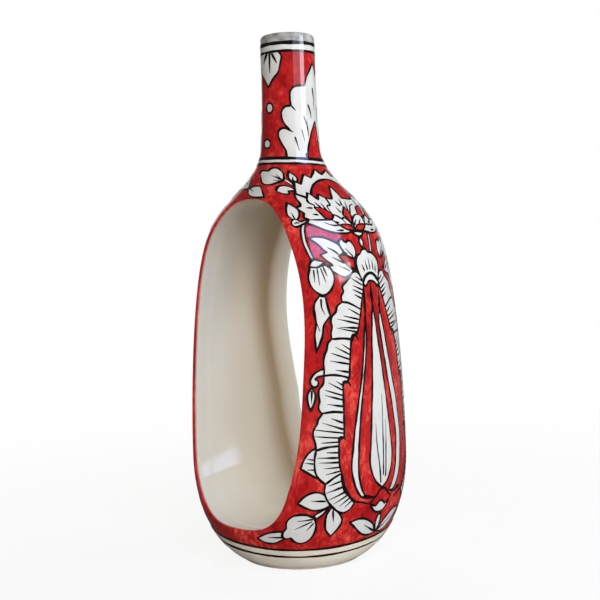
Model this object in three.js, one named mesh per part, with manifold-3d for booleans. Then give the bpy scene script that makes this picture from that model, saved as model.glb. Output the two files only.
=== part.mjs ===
// A ceramic bottle vase: a bowl-footed body of revolution with a slim neck, pierced from front to
// back by an oval tunnel. Millimetres, +Z up, origin at the centre of the foot, tunnel along Y.
// The pot is luted together from thrown and slab-built clay pieces at rebated seams, and water
// fills the hollow between the body wall and the tunnel sleeve.

import * as THREE from 'three';
import { mergeVertices } from 'three/addons/utils/BufferGeometryUtils.js';
import Module from 'manifold-3d';

// Outer profile, stacked from the foot upwards
const FOOT_RADIUS = 37;
const FOOT_ROUND = 1.2;
const FOOT_FLARE = 1.83; // outward run for each mm of rise where the bowl leaves the foot
const BELLY_RADIUS = 63.4;
const BELLY_HEIGHT = 62;
const BODY_RISE = 124; // from the belly to the turn of the shoulder
const SHOULDER_RADIUS = 52.1;
const SHOULDER_LEAN = 0.324; // inward run for each mm of rise at the turn of the shoulder
const SHOULDER_RISE = 52; // from the turn of the shoulder to the root of the neck
const NECK_ROOT_RADIUS = 17.9;
const NECK_ROOT_LEAN = 0.16;
const NECK_RISE = 54; // from the root of the neck to the underside of the mouth
const MOUTH_RADIUS = 15.8;
const MOUTH_RISE = 14; // from the underside of the mouth to the top of the lip
const LIP_ROUND = 2.4;

// Fullness of each stretch of the profile: how far its curve keeps the slope of either end
const BOWL_FULLNESS = { low: 0.12, high: 0.56 };
const BELLY_FULLNESS = { low: 0.26, high: 0.21 };
const SHOULDER_FULLNESS = { low: 0.5, high: 0.35 };
const NECK_FULLNESS = { low: 0.18, high: 0.37 };

// Clay thickness and the foot
const WALL = 5;
const FLOOR = 7;
const FOOT_RING_WIDTH = 6;
const FOOT_RECESS = 2.5;

// Oval windows in the front and back of the body, and the sleeve behind them that makes the tunnel
const WINDOW_HALF_WIDTH = 40.8;
const WINDOW_SILL = 26.8; // height of its lowest point
const WINDOW_CROWN = 24.8; // rise of its highest point above the turn of the shoulder
const WINDOW_SQUARENESS = { sill: 2.85, crown: 2.35 }; // exponent of the oval: 2 is an ellipse
const WINDOW_RIM_ROUND = 2.2;
const SLEEVE_MARGIN = 4.5; // how far the passage widens behind the windows
const SLEEVE_WALL = 4.5;

// Seams between the clay pieces
const BASE_SEAM_HEIGHT = 11;
const NECK_SEAM_DROP = 7; // below the root of the neck
const LIP_COLLAR = 9; // height of the lip ring that shows
const SEAM_STEP = 3; // height of the tongue in each rebate
const LUTE_GAP = 0.3; // thickness of the slip that joins two pieces

// Facets
const TURNS = 56;
const NECK_TURNS = 40;
const OVAL_STEPS = 64;
const CURVE_STEPS = { bowl: 8, belly: 7, shoulder: 11, neck: 4 };
const LIP_STEPS = 3;
const RIM_STEPS = 3;
const MERGE_DISTANCE = 1e-4;
const LEAST_STEP = 0.05; // profile points closer than this to a cut are dropped

// Heights and sizes that follow from the driving dimensions
const SHOULDER_HEIGHT = BELLY_HEIGHT + BODY_RISE;
const NECK_ROOT_HEIGHT = SHOULDER_HEIGHT + SHOULDER_RISE;
const MOUTH_HEIGHT = NECK_ROOT_HEIGHT + NECK_RISE;
const HEIGHT = MOUTH_HEIGHT + MOUTH_RISE;
const WINDOW_TOP = SHOULDER_HEIGHT + WINDOW_CROWN;
const WINDOW_MIDDLE = (WINDOW_TOP + WINDOW_SILL) / 2;
const WINDOW_HALF_HEIGHT = (WINDOW_TOP - WINDOW_SILL) / 2;
const NECK_SEAM_HEIGHT = NECK_ROOT_HEIGHT - NECK_SEAM_DROP;
const LIP_SEAM_HEIGHT = HEIGHT - LIP_COLLAR;

const wasm = await Module();
wasm.setup();

// Joins and cuts
function toSolid(geometry) {
  const bare = geometry.clone();
  bare.deleteAttribute('normal');
  bare.deleteAttribute('uv');
  const merged = mergeVertices(bare, MERGE_DISTANCE);
  const mesh = new wasm.Mesh({
    numProp: 3,
    vertProperties: new Float32Array(merged.attributes.position.array),
    triVerts: new Uint32Array(merged.index.array),
  });
  return new wasm.Manifold(mesh);
}

function toGeometry(solid) {
  const mesh = solid.getMesh();
  const geometry = new THREE.BufferGeometry();
  geometry.setAttribute('position', new THREE.BufferAttribute(mesh.vertProperties, 3));
  geometry.setIndex(new THREE.BufferAttribute(mesh.triVerts, 1));
  geometry.computeVertexNormals();
  return geometry;
}

// The outer profile: points hold the radius in x and the height in y.
// Each stretch is a cubic curve that leaves and meets its ends along the slope there.
function stretch(from, to, leanFrom, leanTo, fullness) {
  const low = fullness.low * (to.y - from.y);
  const high = fullness.high * (to.y - from.y);
  return new THREE.CubicBezierCurve(
    from,
    new THREE.Vector2(from.x - leanFrom * low, from.y + low),
    new THREE.Vector2(to.x + leanTo * high, to.y - high),
    to,
  );
}

const foot = new THREE.Vector2(FOOT_RADIUS, FOOT_ROUND);
const belly = new THREE.Vector2(BELLY_RADIUS, BELLY_HEIGHT);
const shoulder = new THREE.Vector2(SHOULDER_RADIUS, SHOULDER_HEIGHT);
const neckRoot = new THREE.Vector2(NECK_ROOT_RADIUS, NECK_ROOT_HEIGHT);
const mouth = new THREE.Vector2(MOUTH_RADIUS, MOUTH_HEIGHT);

const bowlCurve = stretch(foot, belly, -FOOT_FLARE, 0, BOWL_FULLNESS);
const bellyCurve = stretch(belly, shoulder, 0, SHOULDER_LEAN, BELLY_FULLNESS);
const shoulderCurve = stretch(shoulder, neckRoot, SHOULDER_LEAN, NECK_ROOT_LEAN, SHOULDER_FULLNESS);
const neckCurve = stretch(neckRoot, mouth, NECK_ROOT_LEAN, 0, NECK_FULLNESS);
const outerCurves = [
  [bowlCurve, CURVE_STEPS.bowl],
  [bellyCurve, CURVE_STEPS.belly],
  [shoulderCurve, CURVE_STEPS.shoulder],
  [neckCurve, CURVE_STEPS.neck],
];

const outerProfile = [];
const innerProfile = [];
for (const [curve, steps] of outerCurves) {
  for (let i = outerProfile.length ? 1 : 0; i <= steps; i++) {
    const point = curve.getPoint(i / steps);
    const along = curve.getTangent(i / steps);
    outerProfile.push(point);
    innerProfile.push(new THREE.Vector2(point.x - WALL * along.y, point.y + WALL * along.x));
  }
}
outerProfile.push(new THREE.Vector2(MOUTH_RADIUS, HEIGHT));
innerProfile.push(new THREE.Vector2(MOUTH_RADIUS - WALL, HEIGHT));

function radiusAt(profile, height) {
  const next = Math.max(1, profile.findIndex((point) => point.y >= height));
  const low = profile[next - 1];
  const high = profile[next];
  const share = (height - low.y) / (high.y - low.y);
  return low.x + share * (high.x - low.x);
}

// The points of a profile from one height up to another, with both ends cut exactly.
function section(profile, low, high) {
  const inside = profile.filter((p) => p.y > low + LEAST_STEP && p.y < high - LEAST_STEP);
  return [
    new THREE.Vector2(radiusAt(profile, low), low),
    ...inside,
    new THREE.Vector2(radiusAt(profile, high), high),
  ];
}

// A seam is a rebate: the inner half of the lower piece stands up as a tongue behind the upper one.
function seamRadius(height) {
  return (radiusAt(outerProfile, height) + radiusAt(innerProfile, height + SEAM_STEP)) / 2;
}

function tongueEdge(height) {
  const radius = seamRadius(height);
  return [new THREE.Vector2(radius, height), new THREE.Vector2(radius, height + SEAM_STEP)];
}

function rebateEdge(height) {
  const radius = seamRadius(height) + LUTE_GAP;
  const bottom = height + LUTE_GAP;
  return [new THREE.Vector2(radius, bottom + SEAM_STEP), new THREE.Vector2(radius, bottom)];
}

function turned(profile, turns) {
  return new THREE.LatheGeometry(profile, turns).rotateX(Math.PI / 2);
}

// A hollow stretch of the pot between two seams.
function turnedShell(lowSeam, highSeam, turns) {
  const outer = section(outerProfile, lowSeam + LUTE_GAP, highSeam);
  const inner = section(innerProfile, lowSeam + LUTE_GAP + SEAM_STEP, highSeam + SEAM_STEP);
  const loop = [...outer, ...tongueEdge(highSeam), ...inner.reverse(), ...rebateEdge(lowSeam)];
  return turned([...loop, loop[0].clone()], turns);
}

function makeBaseBowl() {
  const ringInside = FOOT_RADIUS - FOOT_RING_WIDTH;
  const outer = section(outerProfile, FOOT_ROUND, BASE_SEAM_HEIGHT);
  const inner = section(innerProfile, FLOOR, BASE_SEAM_HEIGHT + SEAM_STEP);
  return turned(
    [
      new THREE.Vector2(0, FOOT_RECESS),
      new THREE.Vector2(ringInside - FOOT_RECESS, FOOT_RECESS),
      new THREE.Vector2(ringInside, 0),
      new THREE.Vector2(FOOT_RADIUS - FOOT_ROUND, 0),
      ...outer,
      ...tongueEdge(BASE_SEAM_HEIGHT),
      ...inner.reverse(),
      new THREE.Vector2(0, FLOOR),
    ],
    TURNS,
  );
}

// The oval of the windows, seen along Y, grown outwards by a distance.
function ovalPoint(step, grow) {
  const angle = (2 * Math.PI * step) / OVAL_STEPS;
  const power = Math.sin(angle) < 0 ? WINDOW_SQUARENESS.sill : WINDOW_SQUARENESS.crown;
  const across = Math.sign(Math.cos(angle)) * Math.abs(Math.cos(angle)) ** (2 / power);
  const up = Math.sign(Math.sin(angle)) * Math.abs(Math.sin(angle)) ** (2 / power);
  const normal = new THREE.Vector2(
    (Math.sign(across) * Math.abs(across) ** (power - 1)) / WINDOW_HALF_WIDTH,
    (Math.sign(up) * Math.abs(up) ** (power - 1)) / WINDOW_HALF_HEIGHT,
  ).normalize();
  return new THREE.Vector2(
    WINDOW_HALF_WIDTH * across + grow * normal.x,
    WINDOW_MIDDLE + WINDOW_HALF_HEIGHT * up + grow * normal.y,
  );
}

// A point seen along Y, carried back to a turned surface that lies a distance inside a profile.
function onSurface(profile, point, inset) {
  const radius = radiusAt(profile, point.y) - inset;
  return new THREE.Vector3(point.x, Math.sqrt(radius ** 2 - point.x ** 2), point.y);
}

// A closed section, listed clockwise with Y up and the oval's centre on its left, swept round the oval.
function sweptRound(sectionAt) {
  const positions = [];
  const faces = [];
  let size = 0;
  for (let step = 0; step < OVAL_STEPS; step++) {
    const ring = sectionAt(step);
    size = ring.length;
    for (const point of ring) positions.push(point.x, point.y, point.z);
  }
  for (let step = 0; step < OVAL_STEPS; step++) {
    const here = step * size;
    const there = ((step + 1) % OVAL_STEPS) * size;
    for (let i = 0; i < size; i++) {
      const next = (i + 1) % size;
      faces.push(here + i, there + next, here + next);
      faces.push(here + i, there + i, there + next);
    }
  }
  const geometry = new THREE.BufferGeometry();
  geometry.setAttribute('position', new THREE.Float32BufferAttribute(positions, 3));
  geometry.setIndex(faces);
  geometry.computeVertexNormals();
  return geometry;
}

// What is rounded off the outer edge of the back window.
function rimWasteSection(step) {
  const edge = ovalPoint(step, 0);
  const clear = ovalPoint(step, -WINDOW_RIM_ROUND);
  const corner = onSurface(outerProfile, edge, 0);
  const end = onSurface(outerProfile, ovalPoint(step, WINDOW_RIM_ROUND), 0);
  const start = corner.clone().setY(corner.y - WINDOW_RIM_ROUND);
  const ease = new THREE.QuadraticBezierCurve3(end, corner, start);
  const beyond = 2 * BELLY_RADIUS;
  return [
    new THREE.Vector3(clear.x, beyond, clear.y),
    new THREE.Vector3(end.x, beyond, end.z),
    ...ease.getPoints(RIM_STEPS),
    new THREE.Vector3(clear.x, start.y, clear.y),
  ];
}

function makeBodyWall() {
  const shell = turnedShell(BASE_SEAM_HEIGHT, NECK_SEAM_HEIGHT, TURNS);
  const outline = Array.from({ length: OVAL_STEPS }, (_, step) => ovalPoint(step, 0));
  const length = 4 * BELLY_RADIUS;
  const window = new THREE.ExtrudeGeometry(new THREE.Shape(outline), {
    depth: length,
    bevelEnabled: false,
  });
  window.translate(0, 0, -length / 2).rotateX(Math.PI / 2);
  const backWaste = sweptRound(rimWasteSection);
  const frontWaste = backWaste.clone().rotateZ(Math.PI);
  const pierced = toSolid(shell).subtract(toSolid(window));
  return toGeometry(pierced.subtract(toSolid(backWaste)).subtract(toSolid(frontWaste)));
}

// The sleeve is a straight tube, wider than the windows, whose ends are trimmed to the inside of the wall.
function sleeveSection(step) {
  const passage = onSurface(innerProfile, ovalPoint(step, SLEEVE_MARGIN), LUTE_GAP);
  const outside = onSurface(innerProfile, ovalPoint(step, SLEEVE_MARGIN + SLEEVE_WALL), LUTE_GAP);
  const back = [passage, outside];
  const front = back.map((point) => point.clone().setY(-point.y)).reverse();
  return [...back, ...front];
}

function makeTunnelSleeve() {
  return sweptRound(sleeveSection);
}

function makeNeckTube() {
  return turnedShell(NECK_SEAM_HEIGHT, LIP_SEAM_HEIGHT, NECK_TURNS);
}

// The lip ring is rounded over from the outside to the mouth.
function makeLipRing() {
  const bore = MOUTH_RADIUS - WALL;
  const lipCurve = new THREE.Path();
  lipCurve.moveTo(MOUTH_RADIUS, LIP_SEAM_HEIGHT + LUTE_GAP);
  lipCurve.lineTo(MOUTH_RADIUS, HEIGHT - LIP_ROUND);
  lipCurve.absarc(MOUTH_RADIUS - LIP_ROUND, HEIGHT - LIP_ROUND, LIP_ROUND, 0, Math.PI / 2, false);
  lipCurve.absarc(bore + LIP_ROUND, HEIGHT - LIP_ROUND, LIP_ROUND, Math.PI / 2, Math.PI, false);
  lipCurve.lineTo(bore, LIP_SEAM_HEIGHT + SEAM_STEP + LUTE_GAP);
  const loop = [...lipCurve.getPoints(LIP_STEPS), ...rebateEdge(LIP_SEAM_HEIGHT)];
  return turned([...loop, loop[0].clone()], NECK_TURNS);
}

function clay(color, roughness) {
  return new THREE.MeshStandardMaterial({ color, roughness, metalness: 0 });
}

function piece(name, geometry, material) {
  const mesh = new THREE.Mesh(geometry, material);
  mesh.name = name;
  return mesh;
}

const vase = new THREE.Group();
vase.add(
  piece('base_bowl', makeBaseBowl(), clay(0xc9bfae, 0.3)),
  piece('body_wall', makeBodyWall(), clay(0xb8242a, 0.15)),
  piece('tunnel_sleeve', makeTunnelSleeve(), clay(0xd8d2c6, 0.2)),
  piece('neck_tube', makeNeckTube(), clay(0xbe282c, 0.15)),
  piece('lip_ring', makeLipRing(), clay(0xb0aeaa, 0.25)),
);

export default vase;
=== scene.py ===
import math

import bpy
import numpy as np
from mathutils import Matrix, Vector
from mathutils.geometry import delaunay_2d_cdt


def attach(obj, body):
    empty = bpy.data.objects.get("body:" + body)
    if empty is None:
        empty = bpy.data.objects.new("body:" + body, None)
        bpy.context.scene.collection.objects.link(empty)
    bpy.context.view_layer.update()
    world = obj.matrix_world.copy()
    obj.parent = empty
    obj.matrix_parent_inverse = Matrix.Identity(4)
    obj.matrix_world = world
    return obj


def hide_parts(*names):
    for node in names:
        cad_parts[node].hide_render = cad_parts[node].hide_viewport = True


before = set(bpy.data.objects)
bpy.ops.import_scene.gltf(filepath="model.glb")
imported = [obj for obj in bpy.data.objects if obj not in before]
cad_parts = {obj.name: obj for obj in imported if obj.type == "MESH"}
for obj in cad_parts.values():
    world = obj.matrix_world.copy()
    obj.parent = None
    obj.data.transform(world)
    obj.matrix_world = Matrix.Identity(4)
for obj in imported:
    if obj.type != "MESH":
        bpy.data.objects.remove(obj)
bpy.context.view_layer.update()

MM = 0.001  # sizes are in millimetres, and those of the studio in metres

# Outer profile as (radius, height), from the foot upwards, with the inward lean at each point
FOOT, FOOT_LEAN = (37.0, 1.2), -1.83
BELLY, BELLY_LEAN = (63.4, 62.0), 0.0
SHOULDER, SHOULDER_LEAN = (52.1, 186.0), 0.324
NECK_ROOT, NECK_ROOT_LEAN = (17.9, 238.0), 0.16
MOUTH, MOUTH_LEAN = (15.8, 292.0), 0.0
HEIGHT = 306.0
BOWL_FULLNESS = (0.12, 0.56)
BELLY_FULLNESS = (0.26, 0.21)
SHOULDER_FULLNESS = (0.5, 0.35)
NECK_FULLNESS = (0.18, 0.37)
WALL = 5.0
FOOT_RING_WIDTH = 6.0
FOOT_RECESS = 2.5
FOOT_CORNER = 0.8
FOOT_POLE = 0.01  # radius of the pinhole left in the middle of the foot
FOOT_END = 6  # the profile point at which the foot ring runs into the bowl
LIP_ROUND = 2.4

# Oval windows and the tunnel behind them
FRONT, BACK = -1, 1
WINDOW_HALF_WIDTH = 40.8
WINDOW_SILL = 26.8
WINDOW_TOP = 210.8
WINDOW_MIDDLE = (WINDOW_TOP + WINDOW_SILL) / 2
WINDOW_HALF_HEIGHT = (WINDOW_TOP - WINDOW_SILL) / 2
SILL_POWER, CROWN_POWER = 3.3, 2.4
DRIFT_FROM = 150.0  # above and below this height the cut windows drift sideways
DRIFT_BELOW = {FRONT: (-2.6, 100.0), BACK: (3.0, 60.0)}  # how far, and over what height
DRIFT_ABOVE = {FRONT: (-2.4, 56.0), BACK: (0.0, 56.0)}
WINDOW_SHIFT = {FRONT: -0.7, BACK: 0.0}
RIM_ROUND = 2.4
FLARE_REACH = {FRONT: 15.0, BACK: 10.0}  # how far behind the rim the tunnel reaches its width
TUNNEL_MARGIN = {FRONT: 1.0, BACK: 7.0}  # how far the tunnel widens behind the windows
CROWN_CLOSING = 0.8  # how much less it widens at the top
TUNNEL_BULGE = 3.0  # how much wider the tunnel is half way through

# Seams between the clay pieces, and how thick each glazed skin is
BASE_SEAM = 11.0
NECK_SEAM = 231.0
LIP_SEAM = 297.0
SKIN = 1.2

# Mesh fineness
PROFILE_STEPS = 160
OVAL_STEPS = 176
OVAL_ANGLES = 2 * np.pi * np.arange(OVAL_STEPS) / OVAL_STEPS - np.pi / 2
HALF_OVAL = OVAL_STEPS // 2 + 1  # points of the oval from the sill to the top
TURNS = 192
TURN_ANGLES = 2 * np.pi * np.arange(TURNS) / TURNS
PANEL_COLUMNS = 104
ROWS_BELOW, ROWS_ABOVE = 12, 16  # rows of a painted side under and over the windows
ROUND_STEPS = 9
FLARE_STEPS = 24
TUNNEL_STEPS = 14
RIM_STEPS = 15  # points of the section that belong to the outside
NECK_ROWS = 60
LIP_ROWS = 6
LIP_ARC_STEPS = 25
CORNER_STEPS = 6
WELDS_PER_MM = 500
MIRROR_Y = np.array([1, -1, 1])


def unit(vectors):
    """The vectors brought to length 1."""
    return vectors / np.linalg.norm(vectors, axis=-1, keepdims=True)


def bent(start, corner, end, t):
    """Points at the shares t of a rounded corner."""
    return (1 - t) ** 2 * start + 2 * t * (1 - t) * corner + t ** 2 * end


def stretch(start, end, lean_start, lean_end, fullness):
    """A cubic curve between two profile points that keeps the lean of either end."""
    rise = end[1] - start[1]
    low, high = fullness[0] * rise, fullness[1] * rise
    knots = np.array([
        start,
        (start[0] - lean_start * low, start[1] + low),
        (end[0] + lean_end * high, end[1] - high),
        end,
    ])
    t = np.linspace(0, 1, PROFILE_STEPS)[:, None]
    weights = [(1 - t) ** 3, 3 * (1 - t) ** 2 * t, 3 * (1 - t) * t ** 2, t ** 3]
    return sum(w * k for w, k in zip(weights, knots))


PROFILE = np.vstack([
    stretch(FOOT, BELLY, FOOT_LEAN, BELLY_LEAN, BOWL_FULLNESS),
    stretch(BELLY, SHOULDER, BELLY_LEAN, SHOULDER_LEAN, BELLY_FULLNESS)[1:],
    stretch(SHOULDER, NECK_ROOT, SHOULDER_LEAN, NECK_ROOT_LEAN, SHOULDER_FULLNESS)[1:],
    stretch(NECK_ROOT, MOUTH, NECK_ROOT_LEAN, MOUTH_LEAN, NECK_FULLNESS)[1:],
    [(MOUTH[0], HEIGHT)],
])
ARC = np.concatenate([[0.0], np.cumsum(np.hypot(*np.diff(PROFILE, axis=0).T))])
TANGENT = unit(np.gradient(PROFILE, ARC, axis=0))
NORMAL = np.stack([TANGENT[:, 1], -TANGENT[:, 0]], axis=1)


def radius_at(height):
    return np.interp(height, PROFILE[:, 1], PROFILE[:, 0])


def height_at(rise):
    """Height of a point that lies a distance up along the outer profile."""
    return np.interp(rise, ARC, PROFILE[:, 1])


def on_pot(turn, height, lift=0.0):
    """Points and normals on the outside; turn is the angle from -Y towards +X."""
    turn, height = np.broadcast_arrays(turn, height)
    across = np.interp(height, PROFILE[:, 1], NORMAL[:, 0])
    upward = np.interp(height, PROFILE[:, 1], NORMAL[:, 1])
    size = np.hypot(across, upward)
    across, upward = across / size, upward / size
    radius = radius_at(height)
    normals = np.stack([np.sin(turn) * across, -np.cos(turn) * across, upward], -1)
    points = np.stack([np.sin(turn) * radius, -np.cos(turn) * radius, height], -1)
    return points + lift * normals, normals


# Meshes: every piece is an open sheet of faces that is given a thickness below itself
def grid_faces(rows, columns, wrap=False):
    """Quads of a grid of points stored row by row."""
    faces = []
    for i in range(rows - 1):
        low, high = i * columns, (i + 1) * columns
        for j in range(columns if wrap else columns - 1):
            k = (j + 1) % columns
            faces.append((low + j, low + k, high + k, high + j))
    return faces


def facing_out(points, faces, normals):
    """The faces, turned over if they look against their normals."""
    corners = np.array([face[:3] for face in faces])
    a, b, c = (points[corners[:, i]] for i in range(3))
    looks = np.cross(b - a, c - a)
    if np.sum(looks * normals[corners[:, 0]]) < 0:
        return [face[::-1] for face in faces]
    return faces


def thicken(points, faces, normals, thickness):
    """A closed solid: the faces, a copy of them below, and walls along their open edges."""
    count = len(points)
    sides = {(a, b) for face in faces for a, b in zip(face, face[1:] + face[:1])}
    walls = [(b, a, a + count, b + count) for a, b in sides if (b, a) not in sides]
    below = [tuple(i + count for i in reversed(face)) for face in faces]
    return (
        np.vstack([points, points - thickness * normals]),
        faces + below + sorted(walls),
        np.vstack([normals, -normals]),
    )


def add_object(name, data):
    item = bpy.data.objects.new(name, data)
    bpy.context.scene.collection.objects.link(item)
    return item


def add_piece(name, points, faces, normals, thickness, material, slot, nodes=(), shares=None):
    """A solid piece made from a sheet; shares are values kept on its points for the material."""
    faces = [tuple(face) for face in facing_out(points, faces, normals)]
    points, faces, normals = thicken(points, faces, normals, thickness)
    mesh = bpy.data.meshes.new(name)
    mesh.from_pydata((points * MM).tolist(), [], faces)
    mesh.polygons.foreach_set("use_smooth", [True] * len(mesh.polygons))
    mesh.normals_split_custom_set_from_vertices(normals.tolist())
    mesh.materials.append(material)
    for key, values in (shares or {}).items():
        attribute = mesh.attributes.new(key, "FLOAT", "POINT")
        attribute.data.foreach_set("value", np.tile(values, 2).astype(np.float32))
    piece = add_object(name, mesh)
    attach(piece, "root")
    if nodes:
        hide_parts(*nodes)


def join_sheets(sheets):
    """One sheet from several, with the points that they share welded."""
    points = np.vstack([sheet[0] for sheet in sheets])
    normals = np.vstack([sheet[2] for sheet in sheets])
    shares = np.concatenate([sheet[3] for sheet in sheets])
    faces, first = [], 0
    for sheet in sheets:
        faces += [tuple(i + first for i in face) for face in sheet[1]]
        first += len(sheet[0])
    keys = np.round(points * WELDS_PER_MM).astype(int)
    _, kept, place = np.unique(keys, axis=0, return_index=True, return_inverse=True)
    place = place.ravel()
    welded = []
    for face in faces:
        corners = list(dict.fromkeys(int(place[i]) for i in face))
        if len(corners) > 2:
            welded.append(tuple(corners))
    return points[kept], welded, normals[kept], shares[kept]


# The window oval seen along Y, and the section from the outside over the rim into the tunnel
def signed_power(values, power):
    return np.sign(values) * np.abs(values) ** power


def oval(grow):
    """Points (x, z) of the oval, grown outwards; it starts at the sill."""
    c, s = np.cos(OVAL_ANGLES), np.sin(OVAL_ANGLES)
    power = np.where(s < 0, SILL_POWER, CROWN_POWER)
    across, up = signed_power(c, 2 / power), signed_power(s, 2 / power)
    nx = signed_power(across, power - 1) / WINDOW_HALF_WIDTH
    nz = signed_power(up, power - 1) / WINDOW_HALF_HEIGHT
    size = np.hypot(nx, nz)
    x = WINDOW_HALF_WIDTH * across + grow * (nx / size)
    z = WINDOW_MIDDLE + WINDOW_HALF_HEIGHT * up + grow * (nz / size)
    return x, z


def oval_at(grow, depth):
    """The grown oval as points at a depth along Y."""
    x, z = oval(grow)
    return np.stack(np.broadcast_arrays(x, depth, z), -1)


def window_shift(height, face):
    """How far the cut window of the front or the back sits off the middle at a height."""
    shifts = []
    for each in (FRONT, BACK):
        low, low_reach = DRIFT_BELOW[each]
        high, high_reach = DRIFT_ABOVE[each]
        low_share = np.clip((DRIFT_FROM - height) / low_reach, 0, 1)
        high_share = np.clip((height - DRIFT_FROM) / high_reach, 0, 1)
        shifts.append(WINDOW_SHIFT[each] + low * low_share ** 2 + high * high_share ** 2)
    return np.where(np.equal(face, FRONT), *shifts)


def on_wall(grow, face):
    """The grown oval of one face carried along Y to the outside of the pot, with Y as a depth."""
    x, z = oval(grow)
    x = x + window_shift(z, face)
    return np.stack([x, np.sqrt(radius_at(z) ** 2 - x ** 2), z], -1)


def crown_share(height):
    """0 up to the middle of a window and 1 at its top."""
    return np.clip((height - WINDOW_MIDDLE) / WINDOW_HALF_HEIGHT, 0, 1) ** CROWN_POWER


def widened(points, ends):
    """Points along the tunnel pushed outwards, most of all half way through it."""
    outward = oval_at(TUNNEL_BULGE, 0) - oval_at(0, 0)
    share = 1 - np.clip(points[:, :, 1] / ends[:, None, 1], 0, 1) ** 2
    return points + share[:, :, None] * outward[:, None]


def tunnel_section(face):
    """Half of the section at each oval step, from the outside of a face to the middle plane."""
    start, edge = on_wall(RIM_ROUND, face), on_wall(0, face)
    nose = edge - [0, RIM_ROUND, 0]
    t = np.linspace(0, 1, ROUND_STEPS)[:, None]
    over = bent(start[:, None], edge[:, None], nose[:, None], t)
    depth = nose[:, 1]
    closing = 1 - CROWN_CLOSING * np.maximum(np.sin(OVAL_ANGLES), 0) ** 2
    near = oval_at(0, depth)[:, None]
    far = oval_at(TUNNEL_MARGIN[face] * closing, depth - FLARE_REACH[face])[:, None]
    middle = oval_at((TUNNEL_MARGIN[FRONT] + TUNNEL_MARGIN[BACK]) / 2 * closing, 0)[:, None]
    t = np.linspace(0, 1, FLARE_STEPS)[1:, None]
    ease = t * t * (3 - 2 * t)
    flare = near + (far - near) * np.hstack([ease, t, ease])
    t = np.linspace(0, 1, TUNNEL_STEPS)[1:, None]
    lengthwise = far * (1 - t) + middle * t
    inside = widened(np.concatenate([flare, lengthwise], axis=1), nose)
    share = inside[:, :, 1] / depth[:, None]
    ours, other = (window_shift(inside[:, :, 2], each) for each in (face, -face))
    inside[:, :, 0] += (ours + other) / 2 + share * (ours - other) / 2
    return np.concatenate([over, inside], axis=1)


def section_normals(section):
    """Normals of the swept section, which look into the tunnel."""
    along = np.gradient(section, axis=1)
    around = np.roll(section, -1, axis=0) - np.roll(section, 1, axis=0)
    normals = unit(np.cross(along, around))
    inward = np.array([0, 0, WINDOW_MIDDLE]) - section[:, -1]
    if np.sum(normals[:, -1] * inward) < 0:
        normals = -normals
    return normals


def ring_sheet(points, normals, share):
    """A sheet swept once round the oval: points are indexed by oval step, then along the section."""
    steps, count = points.shape[:2]
    flat, flat_normals = (grid.transpose(1, 0, 2).reshape(-1, 3) for grid in (points, normals))
    faces = facing_out(flat, grid_faces(count, steps, wrap=True), flat_normals)
    return flat, faces, flat_normals, np.broadcast_to(share, (steps, count)).T.ravel()


def mirrored_front(sheet):
    """The sheet of the back moved to the front of the pot."""
    points, faces, normals, share = sheet
    return points * MIRROR_Y, [face[::-1] for face in faces], normals * MIRROR_Y, share


def panel_sheet(side):
    """The outside of one painted side, from window to window and from seam to seam."""
    x, z = (values[:HALF_OVAL] for values in oval(RIM_ROUND))
    below = np.linspace(BASE_SEAM, z[0], ROWS_BELOW)[:-1]
    above = np.linspace(z[-1], NECK_SEAM, ROWS_ABOVE)[1:]
    heights = np.concatenate([below, z, above])
    reach = {}
    for face in (FRONT, BACK):
        cut = x + side * window_shift(z, face)
        widths = np.concatenate([0 * below, cut, 0 * above])
        reach[face] = np.arccos(widths / radius_at(heights))[:, None]
    columns = np.linspace(0, 1, PANEL_COLUMNS + 1)[None, :]
    turns = side * (np.pi / 2 - reach[FRONT] + (reach[FRONT] + reach[BACK]) * columns)
    points, normals = (grid.reshape(-1, 3) for grid in on_pot(turns, heights[:, None]))
    faces = facing_out(points, grid_faces(len(heights), PANEL_COLUMNS + 1), normals)
    return points, faces, normals, np.zeros(len(points))


def band_sheet(heights, lift=0.0):
    """A sheet once round the pot, from the heights of its rows."""
    points, normals = (grid.reshape(-1, 3) for grid in on_pot(TURN_ANGLES, heights, lift))
    return points, grid_faces(len(heights), TURNS, wrap=True), normals


def revolved(profile):
    """A sheet turned round the axis, with normals on the right of the profile's direction."""
    tangent = unit(np.gradient(profile, axis=0))
    out = np.stack([np.sin(TURN_ANGLES), -np.cos(TURN_ANGLES)], -1)
    points, normals = [], []
    for (radius, height), (dr, dz) in zip(profile, tangent):
        points.append(np.column_stack([out * radius, np.full(TURNS, height)]))
        normals.append(np.column_stack([out * dz, np.full(TURNS, -dr)]))
    return np.vstack(points), grid_faces(len(profile), TURNS, wrap=True), np.vstack(normals)


def rounded(points, radius):
    """A line whose inner corners are rounded off."""
    points = np.array(points, float)
    t = np.linspace(0, 1, CORNER_STEPS)[:, None]
    line = [points[0]]
    for before, corner, after in zip(points, points[1:], points[2:]):
        sides = [np.linalg.norm(corner - before), np.linalg.norm(after - corner)]
        reach = min(radius, sides[0] / 2, sides[1] / 2)
        start = corner + (before - corner) * reach / sides[0]
        end = corner + (after - corner) * reach / sides[1]
        line.extend(bent(start, corner, end, t))
    line.append(points[-1])
    return np.array(line)


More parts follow.
